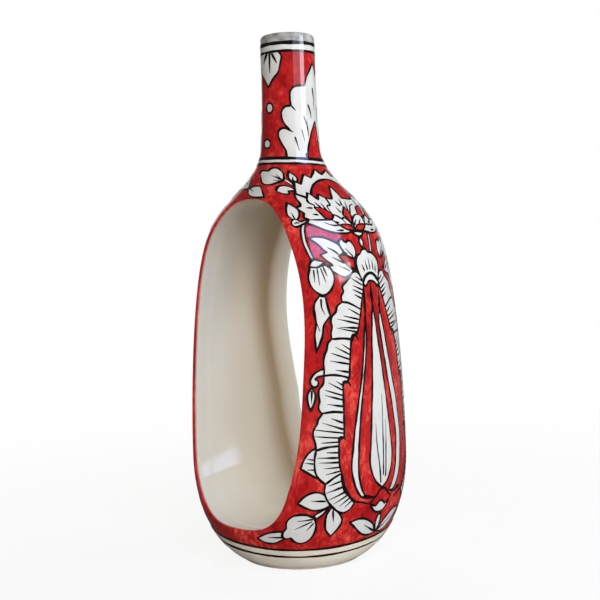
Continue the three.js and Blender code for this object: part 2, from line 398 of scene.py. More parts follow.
# Procedural finishes
RED_TONES = [
    (0.34, (0.215, 0.004, 0.005)),
    (0.45, (0.37, 0.008, 0.009)),
    (0.54, (0.47, 0.016, 0.015)),
    (0.67, (0.75, 0.092, 0.064)),
]
CREAM_TONES = [(0.30, (0.76, 0.72, 0.645)), (0.70, (0.80, 0.77, 0.705))]
FOOT_TONES = [(0.3, (0.78, 0.69, 0.56)), (0.7, (0.86, 0.78, 0.66))]
GREY_TONES = [(0.36, (0.20, 0.195, 0.19)), (0.62, (0.47, 0.46, 0.45))]
WHITE_TONES = [(0.3, (0.59, 0.577, 0.553)), (0.7, (0.651, 0.642, 0.623))]
BLACK_TONES = [(0.3, (0.002, 0.0015, 0.0015)), (0.8, (0.011, 0.008, 0.0075))]
RED_WASH = {"size": 16.0, "detail": 4.0, "stretch_by": (1, 1, 1.8), "distortion": 0.6}
RED_DABS = {"size": 5.0, "detail": 3.0, "stretch_by": (1, 1, 1.5), "distortion": 2.0}
WASH_SHARE, DAB_SHARE = 0.55, 0.45
CREAM_CLOUD = 40.0
MOTTLE_DETAIL = 5.0
GLAZE_IOR = 1.5
GLAZE_ROUGHNESS = (0.05, 0.10)
GLAZE_RIPPLE = 0.05
GLOSS_SIZE, RIPPLE_SIZE, SURFACE_DETAIL = 6.0, 9.0, 2.0
RIPPLE_DEPTH = 0.4
# Painted shade: the lining's cream is darkened towards a brown tone where shade falls, in the hollow behind
# the back rim and under the crown
PAINTED_SHADE_TONE = (0.33, 0.21, 0.10)
PAINTED_SHADE_STRENGTH = 0.82
PAINTED_SHADE_REACH = (3.6, 12.0)  # how far the painted shade spreads towards the rim and into the tunnel
CROWN_SHADE_SPREAD = 2.2  # how much further it spreads under the crown
CROWN_SHADE = 0.40  # how much painted shade browns the glaze all along the crown
RIM_PAINT_END = 0.54  # share of the way over the rim at which the red starts to thin out
RIM_PAINT_FADE = 0.22
RIM_SHARE = {FRONT: 1.0, BACK: 1.7}  # it stops sooner on the rim at the back
RIM_PAINT_WANDER, WANDER_SIZE = 0.10, 20.0
COLOUR_MIX_INPUTS = (0, 6, 7)  # sockets of a mix node: the factor and the two colours
COLOUR_MIX_RESULT = 2


def connect(tree, socket, value):
    """Links another node's output to a socket, or sets the socket to a value."""
    if isinstance(value, bpy.types.NodeSocket):
        tree.links.new(value, socket)
    else:
        socket.default_value = value


def add_node(tree, kind, **inputs):
    """A shader node with its sockets set or linked by name; underscores stand for spaces."""
    node = tree.nodes.new(kind)
    for key, value in inputs.items():
        connect(tree, node.inputs[key.replace("_", " ")], value)
    return node


def arithmetic(tree, operation, *values):
    node = tree.nodes.new("ShaderNodeMath")
    node.operation = operation
    for socket, value in zip(node.inputs, values):
        connect(tree, socket, value)
    return node.outputs[0]


def rescale(tree, value, before, after, smooth=False):
    """A value carried from one range to another."""
    node = add_node(
        tree, "ShaderNodeMapRange", Value=value, From_Min=before[0], From_Max=before[1],
        To_Min=after[0], To_Max=after[1],
    )
    if smooth:
        node.interpolation_type = "SMOOTHSTEP"
    return node.outputs["Result"]


def ramp(tree, factor, stops):
    node = tree.nodes.new("ShaderNodeValToRGB")
    elements = node.color_ramp.elements
    while len(elements) < len(stops):
        elements.new(0.5)
    for element, (position, colour) in zip(elements, stops):
        element.position = position
        element.color = (*colour, 1)
    connect(tree, node.inputs["Fac"], factor)
    return node.outputs["Color"]


def mix(tree, factor, first, second):
    """A colour between two, each a plain colour or another node's output."""
    node = tree.nodes.new("ShaderNodeMix")
    node.data_type = "RGBA"
    for index, value in zip(COLOUR_MIX_INPUTS, (factor, first, second)):
        connect(tree, node.inputs[index], (*value, 1) if isinstance(value, tuple) else value)
    return node.outputs[COLOUR_MIX_RESULT]


def noise(tree, size, detail=3.0, stretch_by=(1, 1, 1), distortion=0.0):
    """Noise with features of about a size in millimetres, drawn out along the axes."""
    place = tree.nodes.new("ShaderNodeTexCoord").outputs["Object"]
    mapping = add_node(tree, "ShaderNodeMapping", Vector=place, Scale=[1 / s for s in stretch_by])
    node = add_node(
        tree, "ShaderNodeTexNoise", Vector=mapping.outputs["Vector"],
        Scale=1 / (size * MM), Detail=detail, Distortion=distortion,
    )
    return node.outputs["Fac"]


def point_share(tree, name):
    """The value that a piece keeps on its points."""
    node = tree.nodes.new("ShaderNodeAttribute")
    node.attribute_name = name
    return node.outputs["Fac"]


def red_paint(tree):
    """Brushed red: broad washes crossed by short dabs of the brush."""
    dabs = arithmetic(tree, "MULTIPLY", noise(tree, **RED_DABS), DAB_SHARE)
    both = arithmetic(tree, "MULTIPLY_ADD", noise(tree, **RED_WASH), WASH_SHARE, dabs)
    return ramp(tree, both, RED_TONES)


def lining_paint(tree):
    """Cream glaze with painted shade, darker and browner in the hollow behind the back rim and under the
    crown.
    """
    cream = ramp(tree, noise(tree, CREAM_CLOUD), CREAM_TONES)
    return mix(tree, point_share(tree, "pool"), cream, PAINTED_SHADE_TONE)


def rim_paint(tree):
    """The red of the body, which thins out over the window rims to the cream of the lining."""
    wander = noise(tree, WANDER_SIZE)
    past = arithmetic(tree, "MULTIPLY_ADD", wander, RIM_PAINT_WANDER, point_share(tree, "rim"))
    fade = [(RIM_PAINT_END, (0, 0, 0)), (RIM_PAINT_END + RIM_PAINT_FADE, (1, 1, 1))]
    return mix(tree, ramp(tree, past, fade), red_paint(tree), lining_paint(tree))


def mottled(tones, size):
    """A paint that wanders between tones."""
    return lambda tree: ramp(tree, noise(tree, size, MOTTLE_DETAIL), tones)


def new_material(name):
    material = bpy.data.materials.new(name)
    material.use_nodes = True
    return material, material.node_tree, material.node_tree.nodes["Principled BSDF"]


def make_glaze(name, paint):
    """A clear, faintly rippled gloss over the colour that a paint's nodes give."""
    material, tree, shader = new_material(name)
    gloss = noise(tree, GLOSS_SIZE, SURFACE_DETAIL)
    ripple = noise(tree, RIPPLE_SIZE, SURFACE_DETAIL)
    bump = add_node(
        tree, "ShaderNodeBump", Height=ripple, Strength=GLAZE_RIPPLE, Distance=RIPPLE_DEPTH * MM,
    )
    shader.inputs["IOR"].default_value = GLAZE_IOR
    connect(tree, shader.inputs["Base Color"], paint(tree))
    connect(tree, shader.inputs["Roughness"], rescale(tree, gloss, (0, 1), GLAZE_ROUGHNESS))
    connect(tree, shader.inputs["Normal"], bump.outputs["Normal"])
    return material


red_body = make_glaze("red_glaze_body", rim_paint)
red_glaze = make_glaze("red_glaze", red_paint)
cream_lining = make_glaze("cream_glaze_tunnel", lining_paint)
cream_foot = make_glaze("cream_glaze_foot", mottled(FOOT_TONES, 14.0))
grey_lip = make_glaze("grey_glaze_lip", mottled(GREY_TONES, 6.0))
white_slip = make_glaze("white_slip", mottled(WHITE_TONES, 9.0))
black_slip = make_glaze("black_slip", mottled(BLACK_TONES, 3.0))


# The five clay pieces
def make_body():
    """The red outside with its two rims; the rest of both sections is left for the lining."""
    sheets = [panel_sheet(1), panel_sheet(-1)]
    halves = []
    for face in (BACK, FRONT):
        section = tunnel_section(face)
        normals = section_normals(section)
        outside = section[:, 0]
        normals[:, 0] = on_pot(np.arctan2(outside[:, 0], -outside[:, 1]), outside[:, 2])[1]
        share = RIM_SHARE[face] * np.linspace(0, 1, RIM_STEPS)
        rim = ring_sheet(section[:, :RIM_STEPS], normals[:, :RIM_STEPS], share)
        sheets.append(rim if face == BACK else mirrored_front(rim))
        halves.append((section[:, RIM_STEPS - 1:], normals[:, RIM_STEPS - 1:]))
    points, faces, normals, shares = join_sheets(sheets)
    # the cream on the rims gets the same painted shade under the crown as the lining
    shares = {"rim": shares, "pool": CROWN_SHADE * crown_share(points[:, 2])}
    add_piece("body_skin", points, faces, normals, SKIN, red_body, "red_glaze", ["body_wall"], shares)
    return halves


def painted_lining_shade(points):
    """How much painted shade darkens the lining at its points, in the hollow behind the back rim and under
    the crown.
    """
    valley = points[:, ROUND_STEPS + FLARE_STEPS - RIM_STEPS - 1, 1]
    away = points[:, :, 1] - valley[:, None]
    crown = crown_share(points[:, :, 2])
    reach = np.where(away > 0, PAINTED_SHADE_REACH[0], PAINTED_SHADE_REACH[1] * (1 + CROWN_SHADE_SPREAD * crown))
    pool = PAINTED_SHADE_STRENGTH * np.exp(-(away / reach) ** 2)
    return 1 - (1 - pool) * (1 - CROWN_SHADE * crown)


def make_lining(halves):
    """The tunnel, from the back rim to the front one."""
    points, normals = (
        np.concatenate([back, (front * MIRROR_Y)[:, -2::-1]], axis=1) for back, front in zip(*halves)
    )
    # painted shade, kept on the points, darkens the lining's cream in the hollow and under the crown
    *sheet, pool = ring_sheet(points, normals, painted_lining_shade(points))
    add_piece("tunnel_lining", *sheet, SKIN, cream_lining, "white_glaze", ["tunnel_sleeve"], {"pool": pool})


def make_foot():
    ring_inside = FOOT[0] - FOOT_RING_WIDTH
    join = PROFILE[FOOT_END]
    under = rounded([
        (FOOT_POLE, FOOT_RECESS),
        (ring_inside - FOOT_RECESS, FOOT_RECESS),
        (ring_inside, 0),
        (FOOT[0] - FOOT[1], 0),
        FOOT,
        join,
    ], FOOT_CORNER)
    outside = PROFILE[(PROFILE[:, 1] > join[1]) & (PROFILE[:, 1] < BASE_SEAM)]
    profile = np.vstack([under, outside, [(radius_at(BASE_SEAM), BASE_SEAM)]])
    add_piece("foot_skin", *revolved(profile), SKIN, cream_foot, "cream_glaze", ["base_bowl"])


def make_neck():
    heights = np.linspace(NECK_SEAM, LIP_SEAM, NECK_ROWS)[:, None]
    add_piece("neck_skin", *band_sheet(heights), WALL, red_glaze, "red_glaze", ["neck_tube"])


def make_lip():
    bore = MOUTH[0] - WALL
    arc = np.radians(np.linspace(0, 180, LIP_ARC_STEPS))
    top = np.column_stack([
        (MOUTH[0] + bore) / 2 + WALL / 2 * np.cos(arc),
        HEIGHT - LIP_ROUND + LIP_ROUND * np.sin(arc),
    ])
    rows = np.linspace(LIP_SEAM, HEIGHT - LIP_ROUND, LIP_ROWS)
    outside = np.column_stack([np.full(LIP_ROWS, MOUTH[0]), rows])
    inside = outside[::-1] * [0, 1] + [bore, 0]
    profile = np.vstack([outside[:-1], top, inside[1:]])
    add_piece("lip_skin", *revolved(profile), SKIN, grey_lip, "grey_glaze", ["lip_ring"])


make_lining(make_body())
make_foot()
make_neck()
make_lip()

# Painting: shapes are drawn flat on a side of the pot as (s, v), where s runs round the pot from the
# middle of the side and v up along the profile, and are then laid on the surface as thin solids
S = 1  # third number of a point where the brush turns a corner
AXIS = -3.5  # s of the upright line about which most motifs are mirrored
LINE = 1.25  # width of a painted outline
HATCH = 0.95
HATCH_REACH = 1.15  # how much longer the hatches of the fringe are than drawn
FIRST_LIFT = 0.04
LAYER_LIFT = 0.085  # from one depth of the drawing to the next
COLOUR_LIFT = {"white": 0.0, "red": 0.02, "black": 0.04}
PAINT_DEPTH = 0.55  # how far a painted solid reaches below the surface
PAINTS = {
    "white": (white_slip, "white_slip"),
    "red": (red_glaze, "red_glaze"),
    "black": (black_slip, "black_slip"),
    "cream": (cream_foot, "cream_glaze"),
}
CURVE_STEP = 0.8
FILL_SPACING = {"spray": 2.3, "neck": 1.5}
FILL_ROW = 0.87  # distance of the rows of a filling, in spacings
FILL_EDGE = 0.45  # how far the filling stays off the outline, in spacings
BRUSH_WAVER = ((0.16, 3.1, 1.0), (0.09, 1.3, 2.3))  # share of the width, length, phase
LINE_OVERRUN = 0.35  # how far an outline runs past its corners, in widths
LINE_TIP, LINE_TIP_REACH = 0.55, 1.2
STROKE_TIP, STROKE_BODY = 0.3, 0.85
STROKE_START = 0.5  # width of a stroke where the brush is set down
STROKE_THINNING = 1.5
LEAF_APART = 4.5  # how much further out the leaf right of the cap stands
LEFT_SIDE_SHIFT = -3.5  # how much further back the left side is painted
LEFT_FOOT_SHIFT = -10.0  # and how much more than that at the foot
LEFT_FOOT_REACH = 90.0
OVER_RIM = 4.0  # how far painting may go on over a window rim
OVER_RIM_FROM = 20.0  # half width of the window above which it does
NECK_START = 250.0  # v above which the painting belongs to the neck
TINY = 1e-6
FLAT = 1e-9
MERGE_WITHIN = 1e-5
ONLY_INSIDE = 1  # the kind of triangulation that leaves out what lies outside an outline
painted = {"white": [], "red": [], "black": []}


def between(u, start, end, a, b):
    """A value that is a where u is at its start and b where it is at its end."""
    return (end - u) / (end - start) * a + (u - start) / (end - start) * b


def smooth_run(knots):
    """A centripetal spline through all the knots but the first and last."""
    line = []
    for p0, p1, p2, p3 in zip(knots, knots[1:], knots[2:], knots[3:]):
        gaps = [max(TINY, np.linalg.norm(b - a)) ** 0.5 for a, b in ((p0, p1), (p1, p2), (p2, p3))]
        t0, t1, t2, t3 = np.cumsum([0] + gaps)
        count = max(2, int(np.ceil(np.linalg.norm(p2 - p1) / CURVE_STEP)) + 1)
        u = np.linspace(t1, t2, count)[:-1, None]
        a1 = between(u, t0, t1, p0, p1)
        a2 = between(u, t1, t2, p1, p2)
        a3 = between(u, t2, t3, p2, p3)
        b1 = between(u, t0, t2, a1, a2)
        b2 = between(u, t1, t3, a2, a3)
        line.append(between(u, t1, t2, b1, b2))
    return np.vstack(line + [knots[-2][None]])


def curve(points, closed=False):
    """Runs of points along smooth curves through the given ones, broken at the sharp ones."""
    flat = np.array([p[:2] for p in points], float)
    sharp = [i for i, p in enumerate(points) if len(p) > 2]
    if closed and not sharp:
        return [smooth_run(np.vstack([flat[-1], flat, flat[:2]]))]
    if closed:
        order = [(sharp[0] + k) % len(points) for k in range(len(points) + 1)]
    else:
        order = list(range(len(points)))
    breaks = [k for k, i in enumerate(order) if i in sharp or k in (0, len(order) - 1)]
    runs = []
    for a, b in zip(breaks, breaks[1:]):
        run = flat[order[a:b + 1]]
        runs.append(smooth_run(np.vstack([2 * run[0] - run[1], run, 2 * run[-1] - run[-2]])))
    return runs


def mirrored(points, apart=0.0):
    return [(2 * AXIS + apart - p[0], *p[1:]) for p in points]


def stroke(points, depth=1, width=HATCH, both=False):
    """A brush stroke that thins out towards its far end."""
    for run in curve(points):
        painted["black"].append((run, width, depth, "stroke"))
    if both:
        stroke(mirrored(points), depth, width)


def shape(points, depth=1, colour="white", width=LINE, strokes=()):
    """A filled shape with a black outline and brush strokes on it."""
    runs = curve(points, closed=True)
    painted[colour].append((np.vstack([run[:-1] for run in runs]), None, depth, "fill"))
    kind = "line" if any(len(p) > 2 for p in points) else "loop"
    for run in runs:
        painted["black"].append((run, width, depth, kind))
    for path in strokes:
        stroke(path, depth)


def pair(points, *settings, strokes=(), apart=0.0, **more):
    """A shape and its mirrored twin, which may stand further out."""
    shape(points, *settings, strokes=strokes, **more)
    twins = [mirrored(path, apart) for path in strokes]
    shape(mirrored(points, apart), *settings, strokes=twins, **more)


def lobe(points, hatches):
    """A lobe of the fringe with its hatches, on either side of the pod."""
    longer = []
    for start, end in hatches:
        longer.append([start, tuple(a + HATCH_REACH * (b - a) for a, b in zip(start, end))])
    pair(points, strokes=longer)


def over_window(points):
    """Points given round from the middle of the front, as s on the side panel."""
    return [(p[0] - math.pi / 2 * float(radius_at(height_at(p[1]))), *p[1:]) for p in points]


def inside_polygon(points, polygon):
    x, y = points[:, :1], points[:, 1:]
    a, b = polygon, np.roll(polygon, -1, axis=0)
    crosses = (a[None, :, 1] > y) != (b[None, :, 1] > y)
    rise = np.where(np.abs(b[:, 1] - a[:, 1]) < FLAT, FLAT, b[:, 1] - a[:, 1])
    at = a[None, :, 0] + (y - a[None, :, 1]) * ((b[:, 0] - a[:, 0]) / rise)[None, :]
    return np.sum(crosses & (x < at), axis=1) % 2 == 1


def filled(polygon, spacing):
    """Points and triangles that fill a polygon."""
    low, high = polygon.min(axis=0), polygon.max(axis=0)
    grid = []
    for k, v in enumerate(np.arange(low[1], high[1], spacing * FILL_ROW)):
        grid += [(s, v) for s in np.arange(low[0] + (k % 2) * spacing / 2, high[0], spacing)]
    grid = np.array(grid).reshape(-1, 2)
    grid = grid[inside_polygon(grid, polygon)]
    if len(grid):
        gaps = np.linalg.norm(grid[:, None, :] - polygon[None, :, :], axis=2).min(axis=1)
        grid = grid[gaps > spacing * FILL_EDGE]
    points = [Vector(p) for p in np.vstack([polygon, grid])]
    result = delaunay_2d_cdt(points, [], [list(range(len(polygon)))], ONLY_INSIDE, MERGE_WITHIN)
    return np.array([tuple(p) for p in result[0]]), [tuple(face) for face in result[2]]


def brushed(run, width, kind, seed):
    """Points and quads of a stroke whose width wavers as a brush does."""
    steps = np.linalg.norm(np.diff(run, axis=0), axis=1)
    run = run[np.concatenate([[True], steps > TINY])]
    tangent = np.gradient(run, axis=0)
    if kind == "loop":
        tangent[0] = tangent[-1] = run[1] - run[-2]
    tangent = unit(tangent)
    if kind == "line":
        past = LINE_OVERRUN * width
        run = np.vstack([run[0] - past * tangent[0], run, run[-1] + past * tangent[-1]])
        tangent = np.vstack([tangent[0], tangent, tangent[-1]])
    length = np.concatenate([[0], np.cumsum(np.linalg.norm(np.diff(run, axis=0), axis=1))])
    left = length[-1] - length
    half = width / 2 * (1 + sum(a * np.sin(length / b + c * seed) for a, b, c in BRUSH_WAVER))
    if kind == "line":
        ends = np.minimum(1, np.minimum(length, left) / (LINE_TIP_REACH * width))
        half *= LINE_TIP + (1 - LINE_TIP) * ends
    if kind == "stroke":
        start = np.minimum(1, STROKE_START + length / (2 * width))
        half *= STROKE_TIP + STROKE_BODY * np.minimum(1, left / length[-1] * STROKE_THINNING) * start
    if kind == "loop":
        half[-1] = half[0]
    across = np.stack([-tangent[:, 1], tangent[:, 0]], axis=1) * half[:, None]
    points = np.stack([run - across, run + across], axis=1).reshape(-1, 2)
    faces = [(2 * i, 2 * i + 2, 2 * i + 3, 2 * i + 1) for i in range(len(run) - 1)]
    return points, faces


def half_opening(height, grow, side, face):
    """How far the window of a face reaches to a side at a height, and 0 above and below it."""
    x, z = (values[:HALF_OVAL] for values in oval(grow))
    reach = np.interp(height, z, x, left=0, right=0)
    return np.where(reach > 0, np.maximum(reach + side * window_shift(height, face), 0), 0)


def over_rim(past, height, side, face):
    """Points and normals a distance past the painted side, on a rim's round in the +X +Y quarter."""
    radius = radius_at(height)
    x0, x1 = (half_opening(height, grow, side, face) for grow in (0, RIM_ROUND))
    start = np.stack([x1, np.sqrt(radius ** 2 - x1 ** 2)], -1)
    corner = np.stack([x0, np.sqrt(radius ** 2 - x0 ** 2)], -1)
    end = corner - [0, RIM_ROUND]
    length = np.linalg.norm(corner - start, axis=1) + RIM_ROUND
    share = past / length
    t = np.minimum(share, 1)[:, None]
    along = unit(2 * (1 - t) * (corner - start) + 2 * t * (end - corner))
    flat = bent(start, corner, end, t)
    flat[:, 1] -= np.maximum(share - 1, 0) * length
    normals = np.column_stack([along[:, 1], -along[:, 0], 0 * height])
    return np.column_stack([flat, height]), normals


def lay_on_side(points, lift, side):
    """Flat painting points carried to the surface of a side of the pot, and on over the window rim."""
    height = height_at(points[:, 1])
    radius = radius_at(height)
    along = points[:, 0]
    if side < 0:
        near_foot = np.clip(1 - points[:, 1] / LEFT_FOOT_REACH, 0, 1)
        along = along + LEFT_SIDE_SHIFT + LEFT_FOOT_SHIFT * near_foot
    turn = side * np.pi / 2 + along / radius
    places, normals = on_pot(turn, height, lift)
    face = np.where(np.cos(turn) > 0, FRONT, BACK)
    opening = half_opening(height, RIM_ROUND, side, face)
    past = np.abs(along) - radius * np.arccos(opening / radius)
    over = (past > 0) & (opening > OVER_RIM_FROM)
    if over.any():
        height, face, past = height[over], face[over], OVER_RIM * np.tanh(past[over] / OVER_RIM)
        quarter = np.column_stack([np.full(len(face), side), face, np.ones(len(face))])
        rim_places, rim_normals = over_rim(past, height, side, face)
        normals[over] = rim_normals * quarter
        places[over] = rim_places * quarter + lift * normals[over]
    return places, normals


def paint_side(name, items, colour, spacing, side):
    """The solids of one colour on one side of the pot, as one piece."""
    points, normals, faces, first = [], [], [], 0
    for seed, (line, width, depth, kind) in items:
        flat, quads = filled(line, spacing) if kind == "fill" else brushed(line, width, kind, seed)
        lift = FIRST_LIFT + depth * LAYER_LIFT + COLOUR_LIFT[colour]
        place, facing = lay_on_side(flat, lift, side)
        quads = facing_out(place, quads, facing)
        points.append(place)
        normals.append(facing)
        faces += [tuple(i + first for i in face) for face in quads]
        first += len(place)
    add_piece(name, np.vstack(points), faces, np.vstack(normals), PAINT_DEPTH, *PAINTS[colour])


def paint_sides(area, keep):
    """All the painting of one area, colour by colour and side by side."""
    for colour, drawn in painted.items():
        items = [(seed, item) for seed, item in enumerate(drawn) if keep(item[0][:, 1].mean())]
        for side, side_name in ((1, "right"), (-1, "left")):
            paint_side(f"{area}_{colour}_{side_name}", items, colour, FILL_SPACING[area], side)


# Lower sprays on either side of the panel
pair(
    [(-58.5, 52, S), (-55, 55.8), (-50.1, 57.9), (-45, 56.8), (-41, 52.5), (-40, 49.8, S), (-44, 48),
     (-48.7, 47.6), (-54, 49.5)],
    0, strokes=[[(-43, 52.5), (-51.5, 53.3)]],
)
pair(
    [(-48.3, 43.3, S), (-52, 45), (-55.8, 45.4), (-59.8, 44.6), (-62.3, 42), (-62.6, 39.5),
     (-61.8, 37.2, S), (-63.1, 34.2), (-62.2, 31.3), (-60.1, 30.2), (-57.8, 30.9, S), (-55.1, 28.5),
     (-51, 26.9), (-47.8, 28.1), (-45.8, 32), (-45.6, 36.5), (-46.6, 40.6)],
    strokes=[[(-48.4, 42.4), (-56.9, 41.5)], [(-48.6, 41.2), (-57.1, 36.5)],
             [(-47.6, 40.3), (-50.4, 35.4)]],
)
pair([(-48.6, 44.6, S), (-44.5, 47.2), (-40.6, 49.4, S), (-43, 45.5), (-46.8, 42.2, S)], 0)
pair(
    [(-76.5, 29.5, S), (-72.5, 33), (-68.4, 34.4), (-63.5, 34.6), (-60.8, 32), (-61.2, 30, S), (-64.5, 27),
     (-67.5, 26.4), (-72, 27.3)],
    0, strokes=[[(-61.5, 31), (-70.6, 30.7)]],
)
pair(
    [(-39.2, 48.8, S), (-41.3, 44.5), (-41.3, 40), (-39.6, 35), (-35.5, 30.4, S), (-32.3, 36), (-31.5, 40),
     (-33.8, 44.2)],
    0, strokes=[[(-38.2, 47), (-36.6, 39.7)]],
)

# Foot of the panel
pair(
    [(-26.3, 38.1, S), (-19.6, 39.2), (-14.2, 37.6), (-8, 33.2), (-4.4, 27.4, S), (-9.2, 26.5),
     (-15.1, 28.5), (-20.5, 33)],
    strokes=[[(-5.4, 28.2), (-15.5, 34.5)]],
)
shape([(-4.4, 39.7), (-6.3, 37.6), (-5.9, 32), (-4, 27.8, S), (-2.6, 32), (-2.9, 37)], 2)
shape(
    [(-14.2, 47, S), (-12, 46), (-10, 45, S), (-8, 46.8), (-6, 47.7), (-4, 46.8), (-2, 45, S), (-0.4, 45.8),
     (1.8, 46.4, S), (-0.4, 43.4), (-3, 41.5), (-6, 40.9), (-9.4, 41.6), (-12, 43.8)],
    3,
)
shape(
    [(-14.4, 47.2, S), (-12.4, 49.4), (-10, 51.2), (-8.2, 53.6), (-5.6, 54.8), (-2.8, 53.8), (-0.4, 51.4),
     (3.4, 48.6, S), (-0.6, 45.6), (-6, 44), (-11.6, 45.4)],
    2, "red", 1.4,
)
stroke([(-34.7, 67.4), (-32.6, 58.5), (-25.8, 50.8), (-20, 48.9), (-14, 46.8)], 2, 1.7, both=True)
stroke([(-21, 52.4), (-16, 51.4), (-12.5, 50.8), (-9.4, 51.6)], 2, 1.7, both=True)

# Fringe of hatched lobes round the pod
lobe(
    [(-43.8, 62.2, S), (-44.2, 58), (-42.6, 53.5), (-39.6, 49.6), (-36, 46.4), (-31.9, 44.7), (-28.3, 46.2),
     (-25.8, 49.5, S), (-29.4, 53.8), (-32.6, 58.5), (-34.2, 63), (-34.7, 67.4, S), (-39.2, 65.2)],
    [[(-34.2, 63.3), (-41, 61.3)], [(-33.1, 59.9), (-41.9, 57.5)], [(-31.6, 57), (-40.5, 53.5)],
     [(-30.3, 54.9), (-37.4, 51.1)], [(-28.9, 53.2), (-34.2, 49.3)], [(-27.2, 51.6), (-31, 48.4)]],
)
lobe(
    [(-48.6, 80.8, S), (-49.4, 77), (-49.7, 73), (-49.2, 68.5), (-47, 64.8), (-43.8, 62.2, S),
     (-39.2, 65.2), (-34.7, 67.4, S), (-35.6, 72), (-35.6, 82.4, S), (-42.4, 82.2), (-47, 81.4)],
    [[(-35.8, 78.8), (-41.9, 79.3)], [(-35.8, 76), (-46.5, 76.7)], [(-35.8, 73.5), (-45.8, 74)],
     [(-35.6, 70.8), (-43.5, 70.8)], [(-35.2, 68.7), (-42.5, 67.6)]],
)
lobe(
    [(-43.8, 100.8, S), (-46.6, 97.4), (-47.2, 95.2), (-49.4, 91.8), (-49.7, 88.5), (-48.8, 85),
     (-48.6, 80.8, S), (-42.4, 82.2), (-35.6, 82.4, S), (-35.4, 85.6, S), (-32.3, 86.8, S), (-31.9, 93.5),
     (-31.6, 100.4, S), (-37.8, 101.2)],
    [[(-32.2, 94.6), (-38.5, 97.4)], [(-32.4, 91.2), (-42.8, 95.1)], [(-32.5, 89.2), (-47.1, 91.9)],
     [(-33.7, 86.6), (-47.1, 88.3)], [(-35.3, 84.6), (-44.2, 84.8)]],
)
lobe(
    [(-41.5, 121, S), (-42.4, 116.6), (-44.8, 113.8), (-45.4, 110.5), (-45.1, 107), (-45.9, 104),
     (-45, 101.6), (-43.8, 100.8, S), (-37.8, 101.2), (-31.6, 100.4, S), (-31.3, 109), (-31, 116.4, S),
     (-28.6, 116.8), (-26.7, 118.8, S), (-32.4, 120.5), (-37, 121.2)],
    [[(-30.8, 114.8), (-34.6, 117.5)], [(-30.8, 112.1), (-38.3, 116.5)], [(-31, 109.4), (-40.4, 112.8)],
     [(-31.1, 107), (-40.5, 110)], [(-31.3, 103.6), (-39.6, 105.3)]],
)
lobe(
    [(-35.3, 140.5, S), (-37.6, 138.6), (-38.8, 134.8), (-40.3, 132), (-41.1, 128.4), (-41.2, 124.4),
     (-41.5, 121, S), (-37, 121.2), (-32.4, 120.5), (-26.7, 118.8, S), (-26, 125), (-24.8, 133),
     (-23.5, 139.6, S), (-29, 140.5)],
    [[(-24.5, 133.8), (-29, 137)], [(-24.9, 131.2), (-32.6, 135.5)], [(-25.3, 128.7), (-35.2, 132.5)],
     [(-25.6, 126.2), (-36, 128.5)], [(-26.1, 121.8), (-33.7, 123.5)]],
)
lobe(
    [(-26.5, 160.2, S), (-29.8, 158.2), (-31.2, 155), (-33.8, 152.8), (-34.7, 150), (-34.3, 147),
     (-35.4, 143.5), (-35.3, 140.5, S), (-29, 140.5), (-23.5, 139.8, S), (-21.8, 142.2, S), (-19, 142.4, S),
     (-16.6, 149.6), (-14.6, 155.4, S), (-19.4, 158), (-23.3, 159.8)],
    [[(-16, 152.4), (-22.4, 156)], [(-16.9, 150.1), (-25.6, 152.4)], [(-17.8, 147.8), (-29.2, 150.8)],
     [(-18.5, 145.5), (-28.3, 146.5)], [(-19.2, 143.3), (-30.1, 146)]],
)
lobe(
    [(-16.9, 176.2), (-19.5, 173.4), (-22.1, 171.3), (-25.2, 168.6), (-24.9, 166), (-26.7, 163.3),
     (-26.5, 160.2, S), (-23.3, 159.8), (-19.4, 158), (-14.6, 155.4, S), (-13.3, 160.5), (-11.5, 165.1),
     (-10.4, 169.8), (-11.3, 173.2), (-14, 176.2)],
    [[(-10.8, 171), (-14.9, 173.5)], [(-10.9, 168.5), (-17.8, 172.4)], [(-11.5, 166), (-17.4, 168.6)],
     [(-12.2, 163.7), (-17.8, 166.4)], [(-12.9, 161.3), (-17.4, 163.6)]],
)
for hook in (
    [(-35.5, 84), (-34.8, 86.8), (-32.6, 86.9), (-31.2, 85.2)],
    [(-31.3, 114.5), (-30.2, 117), (-28.2, 116.7), (-26.2, 114.6)],
    [(-23.6, 138.5), (-22, 141.8), (-20.4, 141.6), (-18.8, 139)],
):
    stroke(hook, 2, 1.7, both=True)

# Pod with two stripes and a blade
shape(
    [(-11.9, 153, S), (-14.2, 142), (-16, 131.6), (-18.7, 118), (-21.5, 107), (-25.1, 91.6), (-27.4, 78),
     (-28.4, 70), (-27.4, 63), (-24.4, 56), (-20.5, 51.8), (-16.5, 51.2, S), (-19, 53), (-21.6, 57),
     (-23.4, 63), (-24, 69), (-23.6, 76), (-21.9, 91.6), (-19.2, 107), (-16.9, 118), (-14.2, 131.6),
     (-12.7, 142)],
)
shape(
    [(-5.1, 159, S), (-6.6, 152), (-8.7, 139), (-10.1, 125.3), (-11.5, 111.6), (-13.3, 96.2), (-15, 80),
     (-16, 71), (-14.6, 65), (-11, 59), (-6.2, 55.4, S), (-2.6, 57.5), (0.6, 62.4), (2.8, 69), (3.4, 76),
     (2.4, 84), (0.4, 101.6), (-1.5, 118), (-3.3, 134.4), (-4.4, 148)],
    strokes=[[(-7.4, 58), (-8.6, 68), (-10.2, 80), (-10.5, 92)],
             [(-5.4, 62), (-5, 78), (-4.6, 92), (-4, 108)],
             [(-3.3, 61), (-2.9, 72), (-2.2, 84), (-1.8, 93)]],
)
shape(
    [(0.8, 155.5, S), (-1, 148), (0.8, 129.8), (3.1, 115.3), (6.7, 97.1), (8.9, 82), (8.2, 73), (6.6, 64),
     (4, 56.8), (0.6, 52.2, S), (4.9, 52), (8.6, 55), (11.8, 61.3), (13.6, 70.4), (14.6, 80), (11.7, 101.6),
     (7.6, 118), (4.5, 133.5), (2.2, 148)],
)
